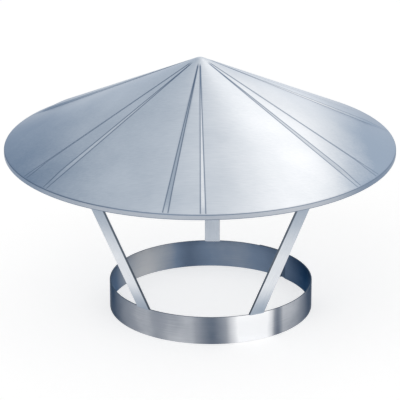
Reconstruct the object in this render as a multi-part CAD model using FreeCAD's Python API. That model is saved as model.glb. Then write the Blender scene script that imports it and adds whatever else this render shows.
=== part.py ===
"""Adjustable chimney cap: a ribbed sheet-metal cone on three flat straps over a clamping collar.

The origin is on the collar's axis, in the plane of its lower edge, and +Z points up.
Azimuths are in degrees, seen from above: 0 is the front (-Y), 90 is the right (+X).
"""
import FreeCAD, Part
import math
import os
from dataclasses import dataclass

from FreeCAD import Placement, Rotation, Vector

UP = Vector(0, 0, 1)

# Hood: a cone with pressed ribs and a turned-down, hemmed lip
hood_radius = 150.0
hood_rise = 71.0
hood_sheet = 0.8
lip_depth = 4.0
hem_height = 3.0
lip_bend_radius = 1.2
fold_bevel_share = 0.4
nose_radius = 8.0
hood_shift = 8.4
outlet_height = 106.3

# Pressed ribs: six, about a sixth of a turn apart and clear of the rear strap
rib_azimuths = (-121.0, -55.2, -4.4, 57.0, 106.5, 160.0)
rib_top_angle = 9.0
rib_wall_angle = 1.5
rib_height = 1.3
rib_start_radius = 9.0
rib_ramp_length = 12.0
rib_runout_height = 0.12
rib_root_depth = 0.27

# Collar band: one strip whose end laps over its beginning
band_radius = 78.8
band_sheet = 1.0
band_height = 22.0
lap_azimuth = 134.0
lap_angle = 16.0
joggle_angle = 3.6
joggle_offset_angle = 1.0
lap_clearance = 0.1

# Straps that carry the hood
strap_width = 12.0
strap_thickness = 2.0
strap_bend_radius = 5.0
weld_clearance = 0.03
strap_rim_inset = 17.0
tab_length = 20.0
tab_clearance = 0.15
bend_steps = 4
front_left_foot_azimuth = -40.8
front_right_foot_azimuth = 25.9
front_strap_top_azimuth = 38.6
rear_foot_azimuth = 178.8

# Clamp: two folded lugs drawn together by a square-necked bolt
clamp_azimuth = 157.0
clamp_height = 9.0
lug_thickness = 1.6
lug_width = 13.0
lug_base_length = 9.0
lug_gap = 18.0
bolt_radius = 2.5
bolt_clearance = 0.2
bolt_standoff = 9.0
bolt_head_radius = 6.2
bolt_head_height = 2.8
neck_side = 5.0
neck_length = 2.6
neck_clearance = 0.1
thread_travel = 7.2
nut_sides = 6
nut_flats = 8.0
nut_height = 4.0
nut_chamfer = 0.45
nut_running_clearance = 0.05
washer_radius = 5.0
washer_thickness = 1.0
washer_seat_clearance = 0.02
small_edge = 0.6
full_turn = 360.0

# Values that follow from the sizes above
hood_slope = math.atan2(hood_rise, hood_radius)
lip_bottom_z = band_height + outlet_height
lip_top_z = lip_bottom_z + lip_depth
hood_axis_x = -hood_shift
strap_top_radius = hood_radius - strap_rim_inset
band_inner_radius = band_radius - band_sheet
lap_step = band_sheet + lap_clearance
pressing_reach = 4 * hood_sheet


@dataclass(frozen=True)
class Strap:
    """One flat strap: where its foot stands on the collar and where its tab meets the hood."""

    name: str
    foot_azimuth: float
    top_azimuth: float


def radial(azimuth):
    """Unit vector that points outwards at an azimuth in degrees."""
    angle = math.radians(azimuth)
    return Vector(math.sin(angle), -math.cos(angle), 0)


def tangent(azimuth):
    """Unit vector along the rim at an azimuth, towards a larger azimuth."""
    angle = math.radians(azimuth)
    return Vector(math.cos(angle), math.sin(angle), 0)


def hood_point(azimuth, radius, z):
    """Point at a radius from the hood's own axis."""
    return Vector(hood_axis_x, 0, z) + radial(azimuth) * radius


def cone_z(radius):
    """Height of the cone's outer face at a radius from the hood's axis."""
    return lip_top_z + hood_rise * (1 - radius / hood_radius)


def arc_edge(start, middle, end):
    """Circular edge through three points."""
    return Part.Arc(start, middle, end).toShape()


def bend_arc(corner, before, after, radius):
    """Ends and middle of the arc that rounds a corner between two directions.

    before and after are unit vectors along the path, into and out of the corner.
    """
    turn = before.getAngle(after)
    setback = radius * math.tan(turn / 2)
    start = corner - before * setback
    end = corner + after * setback
    inward = (after - before).normalize()
    middle = corner + inward * (radius / math.cos(turn / 2) - radius)
    return start, middle, end


def profile_point(radius, z):
    """Point of the hood's section, in the plane behind its axis."""
    return Vector(hood_axis_x + radius, 0, z)


def dome_corners(radius, sweep):
    """Corners of a dome from its crown out, as reach and height from its centre.

    A flat and one bevel both touch the round, which ends at the sweep angle.
    """
    turn = sweep / 4
    corner_radius = radius / math.cos(turn)
    return (
        (0, radius),
        (corner_radius * math.sin(turn), radius),
        (corner_radius * math.sin(3 * turn), corner_radius * math.cos(3 * turn)),
    )


def hood_sheet_body():
    """The cone, its rounded nose, its lip and the hem, revolved as one folded sheet."""
    down_slope = Vector(math.cos(hood_slope), 0, -math.sin(hood_slope))
    inner_drop = hood_sheet / math.cos(hood_slope)
    lip_inner = hood_radius - hood_sheet
    hem_inner = hood_radius - 2 * hood_sheet
    fold_z = lip_bottom_z + hood_sheet
    fold_bevel = hood_sheet * fold_bevel_share

    nose_center_z = lip_top_z + hood_rise - nose_radius / math.cos(hood_slope)
    outer_nose, inner_nose = (
        [profile_point(reach, nose_center_z + height) for reach, height in dome_corners(radius, hood_slope)]
        for radius in (nose_radius, nose_radius - hood_sheet)
    )

    bend_start, _, bend_end = bend_arc(profile_point(hood_radius, lip_top_z), down_slope, -UP, lip_bend_radius)
    inner_corner = profile_point(lip_inner, cone_z(lip_inner) - inner_drop)
    hem_top = lip_bottom_z + hem_height
    outline = [
        *outer_nose,
        bend_start,
        bend_end,
        profile_point(hood_radius, fold_z),
        profile_point(hood_radius - fold_bevel, lip_bottom_z),
        profile_point(hem_inner + fold_bevel, lip_bottom_z),
        profile_point(hem_inner, fold_z),
        profile_point(hem_inner, hem_top),
        profile_point(lip_inner, hem_top),
        inner_corner,
        *reversed(inner_nose),
    ]
    face = Part.Face(Part.makePolygon(outline + [outline[0]]))
    return face.revolve(Vector(hood_axis_x, 0, 0), UP, full_turn)


def rib_section(azimuth, radius, height, lowering, depth):
    """Closed trapezoid across a rib, square to the cone's slope.

    lowering sinks the whole section under the cone's face, and depth closes it below that.
    """
    across = tangent(azimuth)
    outwards = radial(azimuth)
    normal = outwards * math.sin(hood_slope) + UP * math.cos(hood_slope)
    foot = hood_point(azimuth, radius, cone_z(radius))
    top_half = radius * math.radians(rib_top_angle) / 2
    base_half = top_half + radius * math.radians(rib_wall_angle)
    curvature_radius = radius / math.sin(hood_slope)
    top_sag = top_half**2 / (2 * curvature_radius)
    base_sag = base_half**2 / (2 * curvature_radius)
    outline = (
        (-base_half, -base_sag - depth),
        (-base_half, -base_sag),
        (-top_half, height - top_sag),
        (top_half, height - top_sag),
        (base_half, -base_sag),
        (base_half, -base_sag - depth),
    )
    corners = [foot + across * side + normal * (level - lowering) for side, level in outline]
    return Part.makePolygon(corners + [corners[0]])


def rib_solid(azimuth, lowering, depth):
    """A rib from the nose to just inside the lip, widening and rising with the radius."""
    full_radius = hood_radius - lip_bend_radius - rib_ramp_length
    end_radius = hood_radius - lip_bend_radius
    stations = (
        (rib_start_radius, rib_runout_height),
        (full_radius, rib_height),
        (end_radius, rib_runout_height),
    )
    sections = [rib_section(azimuth, radius, height, lowering, depth) for radius, height in stations]
    return Part.makeLoft(sections, True, True)


def make_hood():
    """The cone with its ribs pressed up from the sheet, hollow on the underside."""
    hood = hood_sheet_body()
    raised = [rib_solid(azimuth, 0, rib_root_depth) for azimuth in rib_azimuths]
    hollows = [rib_solid(azimuth, hood_sheet, pressing_reach) for azimuth in rib_azimuths]
    return hood.fuse(raised).cut(hollows)


def polar_point(radius, azimuth, z=0.0):
    """Point at a radius from the collar's axis."""
    return radial(azimuth) * radius + UP * z


def polar_arc(radius, start, end):
    """Arc about the collar's axis between two azimuths."""
    return arc_edge(
        polar_point(radius, start), polar_point(radius, (start + end) / 2), polar_point(radius, end)
    )


def band_side(radius):
    """One face of the strip from its lapped beginning, once round and out over the joggle."""
    joggle_end = lap_azimuth - joggle_offset_angle + full_turn
    joggle_start = joggle_end - joggle_angle
    lap_end = lap_azimuth + lap_angle + full_turn
    half_way = (lap_azimuth + joggle_start) / 2
    outer = radius + lap_step
    return [
        polar_arc(radius, lap_azimuth, half_way),
        polar_arc(radius, half_way, joggle_start),
        Part.makeLine(polar_point(radius, joggle_start), polar_point(outer, joggle_end)),
        polar_arc(outer, joggle_end, lap_end),
    ]


def make_collar_band():
    """The collar: a plain strip that is stepped out by its own thickness where it laps."""
    lap_end = lap_azimuth + lap_angle
    inner = band_side(band_inner_radius)
    outer = band_side(band_radius)
    start_edge = Part.makeLine(
        polar_point(band_inner_radius, lap_azimuth), polar_point(band_radius, lap_azimuth)
    )
    end_edge = Part.makeLine(
        polar_point(band_inner_radius + lap_step, lap_end), polar_point(band_radius + lap_step, lap_end)
    )
    edges = Part.sortEdges(inner + outer + [start_edge, end_edge])[0]
    return Part.Face(Part.Wire(edges)).extrude(UP * band_height)


def strap_section(center, along, across):
    """Rectangle across the strap, square to its run."""
    width = (across - along * across.dot(along)).normalize()
    normal = along.cross(width)
    half_width = strap_width / 2
    half_thickness = strap_thickness / 2
    corners = [
        center + width * half_width + normal * half_thickness,
        center - width * half_width + normal * half_thickness,
        center - width * half_width - normal * half_thickness,
        center + width * half_width - normal * half_thickness,
    ]
    return Part.makePolygon(corners + [corners[0]])


def bend_stations(corner, before, after):
    """Points and directions along a strap's bend, from its start to its end."""
    start, middle, end = bend_arc(corner, before, after, strap_bend_radius)
    arc = Part.Arc(start, middle, end)
    first, last = arc.FirstParameter, arc.LastParameter
    stations = []
    for step in range(bend_steps + 1):
        parameter = first + (last - first) * step / bend_steps
        stations.append((arc.value(parameter), arc.tangent(parameter)[0]))
    return stations


def foot_section(center, along, azimuth):
    """Level end of a strap, cut to stand on the collar's edge."""
    across = tangent(azimuth)
    outwards = radial(azimuth)
    facing = abs(along.cross(across).normalize().dot(outwards))
    half_cut = strap_thickness / 2 / facing
    half_width = strap_width / 2
    corners = [
        center + across * half_width - outwards * half_cut,
        center - across * half_width - outwards * half_cut,
        center - across * half_width + outwards * half_cut,
        center + across * half_width + outwards * half_cut,
    ]
    return Part.makePolygon(corners + [corners[0]])


def make_strap(strap):
    """A strap as one bent piece: a splayed run on the collar's edge and a tab under the cone."""
    foot_radius = band_radius - band_sheet / 2
    foot_end = polar_point(foot_radius, strap.foot_azimuth, band_height + weld_clearance)

    normal_drop = hood_sheet + tab_clearance + strap_thickness / 2
    tab_drop = normal_drop / math.cos(hood_slope)
    top_bend = hood_point(strap.top_azimuth, strap_top_radius, cone_z(strap_top_radius) - tab_drop)
    tab_direction = UP * math.sin(hood_slope) - radial(strap.top_azimuth) * math.cos(hood_slope)
    tab_end = top_bend + tab_direction * tab_length

    run = (top_bend - foot_end).normalize()
    top_across = tangent(strap.top_azimuth)
    sections = [foot_section(foot_end, run, strap.foot_azimuth)]
    for point, direction in bend_stations(top_bend, run, tab_direction):
        sections.append(strap_section(point, direction, top_across))
    sections.append(strap_section(tab_end, tab_direction, top_across))
    return Part.makeLoft(sections, True, True)


def straps():
    """The two front straps and the rear one, which runs straight back over its foot."""
    rear_foot_x = (band_radius - band_sheet / 2) * math.sin(math.radians(rear_foot_azimuth))
    rear_lean = math.degrees(math.asin((hood_shift + rear_foot_x) / strap_top_radius))
    return (
        Strap("front_left_strap", front_left_foot_azimuth, -front_strap_top_azimuth),
        Strap("front_right_strap", front_right_foot_azimuth, front_strap_top_azimuth),
        Strap("rear_strap", rear_foot_azimuth, full_turn / 2 - rear_lean),
    )


def placed(shape):
    """A clamp piece, modelled at the collar's front, turned round the collar to its place."""
    shape.Placement = Placement(Vector(0, 0, 0), Rotation(UP, clamp_azimuth))
    return shape


def bolt_axis_y():
    """Place of the bolt's axis on a clamp modelled at the front, where outwards is -Y."""
    return -(band_radius + lap_step + bolt_standoff)


def lug_faces():
    """Inner faces of the two lugs along the bolt: on the lapped end and on the band."""
    return -lug_gap / 2, lug_gap / 2


def make_lug(surface_radius, face_x, side, hole):
    """A lug: an upright ear with a round end and a base rolled to the band.

    side is +1 where the base runs towards +X, and -1 where it runs towards -X.
    """
    base_z = clamp_height - lug_width / 2
    axis_y = bolt_axis_y()
    ear_center = Vector(face_x, axis_y, clamp_height)
    root_y = -math.sqrt(surface_radius**2 - face_x**2)
    ear_half = lug_width / 2
    low = Vector(face_x, root_y + lug_thickness, base_z)
    high = low + UP * lug_width
    ear_edges = [
        Part.makeLine(low, ear_center - UP * ear_half),
        arc_edge(ear_center - UP * ear_half, ear_center - Vector(0, ear_half, 0), ear_center + UP * ear_half),
        Part.makeLine(ear_center + UP * ear_half, high),
        Part.makeLine(high, low),
    ]
    ear = Part.Face(Part.Wire(ear_edges)).extrude(Vector(side * lug_thickness, 0, 0))

    inner = surface_radius + weld_clearance
    sleeve = Part.makeCylinder(inner + lug_thickness, lug_width, Vector(0, 0, base_z))
    window_width = lug_thickness + lug_base_length
    window_corner = Vector(min(face_x, face_x + side * window_width), axis_y, base_z)
    window = Part.makeBox(window_width, -axis_y, lug_width, window_corner)
    base = sleeve.common(window)
    core = Part.makeCylinder(inner, lug_width, Vector(0, 0, base_z))
    return ear.fuse(base).cut([core, hole]).removeSplitter()


def square_prism(side, length, x, y, z):
    """Square bar along X, centred on the bolt's axis."""
    return Part.makeBox(length, side, side, Vector(x, y - side / 2, z - side / 2))


def make_lap_lug():
    """Lug on the lapped end, with a square hole that keeps the bolt from turning."""
    face_x, _ = lug_faces()
    side = neck_side + 2 * neck_clearance
    hole = square_prism(side, lug_thickness, face_x - lug_thickness, bolt_axis_y(), clamp_height)
    return placed(make_lug(band_radius + lap_step, face_x, -1, hole))


def make_band_lug():
    """Lug on the band, with a round hole for the bolt."""
    _, face_x = lug_faces()
    start = Vector(face_x, bolt_axis_y(), clamp_height)
    hole = Part.makeCylinder(bolt_radius + bolt_clearance, lug_thickness, start, Vector(1, 0, 0))
    return placed(make_lug(band_radius, face_x, 1, hole))


def nut_seat_x():
    """Where the nut's face starts along the bolt when the clamp is snug."""
    _, band_face = lug_faces()
    return band_face + lug_thickness + washer_thickness + 2 * washer_seat_clearance


def make_clamp_bolt():
    """Bolt with a domed head, a square neck and a plain-rounded thread core."""
    lap_face, _ = lug_faces()
    head_seat = lap_face - lug_thickness - washer_seat_clearance
    end_x = nut_seat_x() + nut_height + thread_travel
    axis = Vector(0, bolt_axis_y(), clamp_height)
    dome_height = bolt_head_height - small_edge
    dome_radius = (bolt_head_radius**2 + dome_height**2) / (2 * dome_height)
    dome_sweep = math.asin(bolt_head_radius / dome_radius)
    dome_center = axis + Vector(head_seat - bolt_head_height + dome_radius, 0, 0)
    dome = [dome_center + Vector(-height, reach, 0) for reach, height in dome_corners(dome_radius, dome_sweep)]
    rim = axis + Vector(head_seat - small_edge, bolt_head_radius, 0)
    seat_rim = axis + Vector(head_seat, bolt_head_radius, 0)
    seat_core = axis + Vector(head_seat, bolt_radius, 0)
    end_shoulder = axis + Vector(end_x - small_edge, bolt_radius, 0)
    end_rim = axis + Vector(end_x, bolt_radius - small_edge, 0)
    end_center = axis + Vector(end_x, 0, 0)
    outline = [*dome, rim, seat_rim, seat_core, end_shoulder, end_rim, end_center]
    body = Part.Face(Part.makePolygon(outline + [outline[0]])).revolve(axis, Vector(1, 0, 0), full_turn)
    neck = square_prism(neck_side, neck_length, head_seat, axis.y, axis.z)
    return placed(body.fuse(neck).removeSplitter())


def make_clamp_washer():
    """Plain washer between the band's lug and the nut."""
    _, band_face = lug_faces()
    start = Vector(band_face + lug_thickness + washer_seat_clearance, bolt_axis_y(), clamp_height)
    along = Vector(1, 0, 0)
    disc = Part.makeCylinder(washer_radius, washer_thickness, start, along)
    hole = Part.makeCylinder(bolt_radius + bolt_clearance, washer_thickness, start, along)
    return placed(disc.cut(hole))


def make_clamp_nut():
    """Hexagon nut with chamfered corners and a running bore."""
    start = Vector(nut_seat_x(), bolt_axis_y(), clamp_height)
    along = Vector(1, 0, 0)
    corner_radius = nut_flats / math.sqrt(3)
    corners = []
    for index in range(nut_sides + 1):
        angle = math.radians(full_turn / nut_sides * index)
        corners.append(start + Vector(0, corner_radius * math.sin(angle), corner_radius * math.cos(angle)))
    prism = Part.Face(Part.makePolygon(corners)).extrude(along * nut_height)
    crown = Part.makeCylinder(corner_radius, nut_height, start, along)
    rims = [edge for edge in crown.Edges if edge.Closed]
    crown = crown.makeChamfer(nut_chamfer, rims)
    bore = Part.makeCylinder(bolt_radius + nut_running_clearance, nut_height, start, along)
    return placed(prism.common(crown).cut(bore))


def main():
    """Build every piece and write one STEP file for each."""
    os.makedirs("parts", exist_ok=True)
    pieces = {
        "hood": make_hood(),
        "collar_band": make_collar_band(),
        "lap_lug": make_lap_lug(),
        "band_lug": make_band_lug(),
        "clamp_bolt": make_clamp_bolt(),
        "clamp_washer": make_clamp_washer(),
        "clamp_nut": make_clamp_nut(),
    }
    for strap in straps():
        pieces[strap.name] = make_strap(strap)
    for name, shape in pieces.items():
        solids = len(shape.Solids)
        print(name, "solids", solids, "valid", shape.isValid(), "volume", round(shape.Volume, 1))
        shape.exportStep("parts/" + name + ".step")


main()
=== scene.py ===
"""Adjustable chimney cap: its finished sheet metal and hardware in a plain studio, in metres.

Every new piece is a surface worked out with numpy and stands for one of the frame's solids.
Azimuths are seen from above: 0 is the front (-Y) and 90 degrees is the right (+X).
"""
import logging
import math
from dataclasses import dataclass, field, replace
from enum import Enum

import bmesh
import bpy
import numpy as np
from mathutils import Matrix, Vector


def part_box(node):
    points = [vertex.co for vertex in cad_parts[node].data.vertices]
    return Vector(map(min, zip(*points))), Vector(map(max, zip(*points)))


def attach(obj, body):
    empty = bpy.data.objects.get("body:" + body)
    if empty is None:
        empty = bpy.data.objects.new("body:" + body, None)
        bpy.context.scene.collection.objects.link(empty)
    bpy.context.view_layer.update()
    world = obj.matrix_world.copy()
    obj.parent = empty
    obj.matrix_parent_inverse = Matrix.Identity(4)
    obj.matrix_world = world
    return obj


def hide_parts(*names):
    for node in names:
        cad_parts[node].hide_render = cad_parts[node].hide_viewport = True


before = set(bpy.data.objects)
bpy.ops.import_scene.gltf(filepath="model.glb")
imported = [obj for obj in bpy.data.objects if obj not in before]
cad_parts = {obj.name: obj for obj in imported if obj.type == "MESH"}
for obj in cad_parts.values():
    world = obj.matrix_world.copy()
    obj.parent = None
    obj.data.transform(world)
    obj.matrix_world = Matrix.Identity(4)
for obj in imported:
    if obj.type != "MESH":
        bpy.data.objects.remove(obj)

LOG = logging.getLogger("chimney_cap")
MM = 0.001
UP = np.array([0.0, 0.0, 1.0])
FULL_TURN = 2 * math.pi
DEGREES_ROUND = 360.0
# the point attribute that holds the painted shade along the creases
CREASE_SHADE = "painted_crease_shade"
SHARP_ANGLE = 35.0
MERGE_DISTANCE = 1e-7


class Body(Enum):
    """The three bodies that move apart."""

    CAP = "cap"
    WASHER = "washer"
    NUT = "nut"


class Slot(Enum):
    """The record's material slots."""

    HOOD = "hood_sheet"
    COLLAR = "collar_sheet"
    STRAP = "strap_steel"
    HARDWARE = "zinc_hardware"


def linear_colour(hex_code: str) -> tuple[float, float, float, float]:
    """Turn an sRGB hex value into the linear colour that a shader socket takes.

    Args:
        hex_code: the colour as "#rrggbb".

    Returns:
        Linear red, green and blue by the sRGB curve, and an alpha of one.
    """
    channels = [int(hex_code[start:start + 2], 16) / 255 for start in (1, 3, 5)]
    linear = [c / 12.92 if c <= 0.04045 else ((c + 0.055) / 1.055) ** 2.4 for c in channels]
    return (linear[0], linear[1], linear[2], 1.0)


def smooth_step(value: np.ndarray) -> np.ndarray:
    """Ease from 0 to 1: three times the square less twice the cube of the clamped value."""
    t = np.clip(value, 0.0, 1.0)
    return t * t * (3 - 2 * t)


def radial(azimuth: np.ndarray | float) -> np.ndarray:
    """Unit vectors that point outwards at azimuths in radians."""
    angle = np.asarray(azimuth, dtype=float)
    return np.stack([np.sin(angle), -np.cos(angle), np.zeros_like(angle)], axis=-1)


def tangent(azimuth: np.ndarray | float) -> np.ndarray:
    """Unit vectors along the rim at azimuths in radians, towards a larger azimuth."""
    angle = np.asarray(azimuth, dtype=float)
    return np.stack([np.cos(angle), np.sin(angle), np.zeros_like(angle)], axis=-1)


def from_upright(turn: np.ndarray) -> np.ndarray:
    """Unit offsets in a plane at angles from straight up: the sine across and the cosine up."""
    return np.stack([np.sin(turn), np.cos(turn)], axis=-1)


def full_circle(count: int) -> np.ndarray:
    """Even turns once round, in radians."""
    return np.linspace(0, FULL_TURN, count, endpoint=False)


def unit(vector: np.ndarray) -> np.ndarray:
    """Scale vectors, held along the last axis, to length one."""
    return vector / np.linalg.norm(vector, axis=-1, keepdims=True)


def run_length(points: np.ndarray) -> np.ndarray:
    """Length along a line of points from its first: the sum of the steps so far."""
    return np.concatenate([[0.0], np.cumsum(np.linalg.norm(np.diff(points, axis=0), axis=1))])


def rounded_section(width: float, thickness: float, edge: float, side_points: int,
                    corner_points: int = 4) -> np.ndarray:
    """A rectangle with rounded corners, as offsets across and through from its middle.

    Each corner is a quarter circle about a point set in from both sides by the edge radius, and
    the long sides carry further points at even steps.

    Args:
        width: size across.
        thickness: size through.
        edge: corner radius.
        side_points: further points along each long side.
        corner_points: points on each corner.

    Returns:
        Offsets, points by two, counter-clockwise.
    """
    half = np.array([width / 2 - edge, thickness / 2 - edge])
    pieces = []
    for index, signs in enumerate(((1, 1), (-1, 1), (-1, -1), (1, -1))):
        turn = np.linspace(0, math.pi / 2, corner_points) + index * math.pi / 2
        corner = edge * np.stack([np.cos(turn), np.sin(turn)], axis=1)
        pieces.append(half * np.array(signs) + corner)
        if index in (0, 2):
            spread = np.linspace(half[0], -half[0], side_points + 2)[1:-1] * signs[0]
            level = np.full(side_points, signs[1] * thickness / 2)
            pieces.append(np.stack([spread, level], axis=1))
    return np.concatenate(pieces)


@dataclass(frozen=True)
class SpotWeld:
    """The shallow round dish that a welding tip leaves in the sheet."""

    radius: float
    depth: float

    def dish(self, along: np.ndarray, across: np.ndarray) -> np.ndarray:
        """Depth at offsets from its middle: deepest there, and falling off by a smooth step."""
        return (1 - smooth_step(np.hypot(along, across) / self.radius)) * self.depth


@dataclass
class Surface:
    """A mesh in the making: grids of points with quads between them, and end faces."""

    points: list[np.ndarray] = field(default_factory=list)
    places: list[np.ndarray] = field(default_factory=list)
    crease_shading: list[np.ndarray] = field(default_factory=list)
    faces: list[list[int]] = field(default_factory=list)
    count: int = 0

    def add_grid(self, grid: np.ndarray, places: np.ndarray | None = None,
                 wrap_rows: bool = False, crease_shade: np.ndarray | None = None) -> "Surface":
        """Add rings of points, with a quad between each four neighbours.

        Args:
            grid: points, rows by columns by three, where each row's last joins its first.
            places: place on the flat sheet for each point, rows by columns by two.
            wrap_rows: whether the last row joins the first.
            crease_shade: how much painted shade each point takes along a crease, 0 to 1, rows by
                columns.

        Returns:
            This surface.
        """
        rows, columns = grid.shape[:2]
        row, column = np.meshgrid(np.arange(rows if wrap_rows else rows - 1),
                                  np.arange(columns), indexing="ij")
        next_row, next_column = (row + 1) % rows, (column + 1) % columns
        corners = [row * columns + column, row * columns + next_column,
                   next_row * columns + next_column, next_row * columns + column]
        self.faces.extend((np.stack(corners, axis=-1).reshape(-1, 4) + self.count).tolist())
        self.points.append(grid.reshape(-1, 3))
        self.places.append(np.zeros((rows * columns, 2)) if places is None
                           else places.reshape(-1, 2))
        self.crease_shading.append(np.zeros(rows * columns) if crease_shade is None else crease_shade.ravel())
        self.count += rows * columns
        return self

    def add_bar(self, rings: np.ndarray, length: np.ndarray, across: np.ndarray) -> "Surface":
        """Add a section carried along a line, with a face over each end.

        Args:
            rings: points, one ring to a row.
            length: each ring's place along the flat sheet.
            across: each point's place across it, for one ring or for all.

        Returns:
            This surface.
        """
        first, size = self.count, rings.shape[1]
        places = np.stack(np.broadcast_arrays(length[:, None], across), axis=-1)
        self.add_grid(rings, places)
        self.faces.extend(list(range(start, start + size)) for start in (first, self.count - size))
        return self

    def to_object(self, name: str, sharp_angle: float = SHARP_ANGLE) -> bpy.types.Object:
        """Make the Blender object, with its doubles merged and its faces turned outwards.

        Args:
            name: the object's name.
            sharp_angle: the angle in degrees past which an edge stays sharp.

        Returns:
            The new object, linked to the scene.
        """
        mesh = bpy.data.meshes.new(name)
        mesh.from_pydata(np.concatenate(self.points), [], self.faces)
        corner_vertices = np.empty(len(mesh.loops), dtype=np.int32)
        mesh.loops.foreach_get("vertex_index", corner_vertices)
        layer = mesh.uv_layers.new(name="flat_sheet")
        layer.data.foreach_set("uv", np.concatenate(self.places)[corner_vertices].ravel())
        # the painted crease shade goes into a point attribute for the material
        crease_shading = np.concatenate(self.crease_shading)
        if crease_shading.any():
            mesh.attributes.new(CREASE_SHADE, "FLOAT", "POINT").data.foreach_set("value", crease_shading)
        work = bmesh.new()
        work.from_mesh(mesh)
        bmesh.ops.remove_doubles(work, verts=work.verts, dist=MERGE_DISTANCE)
        bmesh.ops.recalc_face_normals(work, faces=work.faces)
        work.to_mesh(mesh)
        work.free()
        mesh.polygons.foreach_set("use_smooth", np.ones(len(mesh.polygons), dtype=bool))
        mesh.set_sharp_from_angle(angle=math.radians(sharp_angle))
        obj = bpy.data.objects.new(name, mesh)
        bpy.context.scene.collection.objects.link(obj)
        return obj


def add_node(tree: bpy.types.NodeTree, kind: str, settings: dict | None = None,
             inputs: dict | None = None) -> bpy.types.Node:
    """Add one node with its settings, its fixed inputs and its links.

    Args:
        tree: the node tree.
        kind: the node's type name.
        settings: the node's own properties.
        inputs: socket name or number, to a value, to the socket that feeds it, or to the node
            whose output in use feeds it.

    Returns:
        The new node.
    """
    node = tree.nodes.new(kind)
    for key, value in (settings or {}).items():
        setattr(node, key, value)
    for key, value in (inputs or {}).items():
        if isinstance(value, bpy.types.Node):
            value = next(socket for socket in value.outputs if socket.enabled)
        if isinstance(value, bpy.types.NodeSocket):
            tree.links.new(value, node.inputs[key])
        else:
            node.inputs[key].default_value = value
    return node


def new_tree(name: str) -> tuple[bpy.types.Material, bpy.types.NodeTree]:
    """Start a material with an empty node tree.

    Args:
        name: the material's name.

    Returns:
        The material and its tree.
    """
    material = bpy.data.materials.new(name)
    material.use_nodes = True
    material.node_tree.nodes.clear()
    return material, material.node_tree


class Grain(Enum):
    """What a finish's pattern follows: straight through the piece, or along the flat sheet."""

    STRAIGHT = "Object"
    ALONG_SHEET = "UV"


@dataclass(frozen=True)
class Band:
    """A soft band across a strip that paints light (a positive change) or shade (a negative change)
    into its tone.

    It lies place_mm along the strip, fades out reach_mm to either side, and moves the tone by
    change.
    """

    place_mm: float
    reach_mm: float
    change: float


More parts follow.
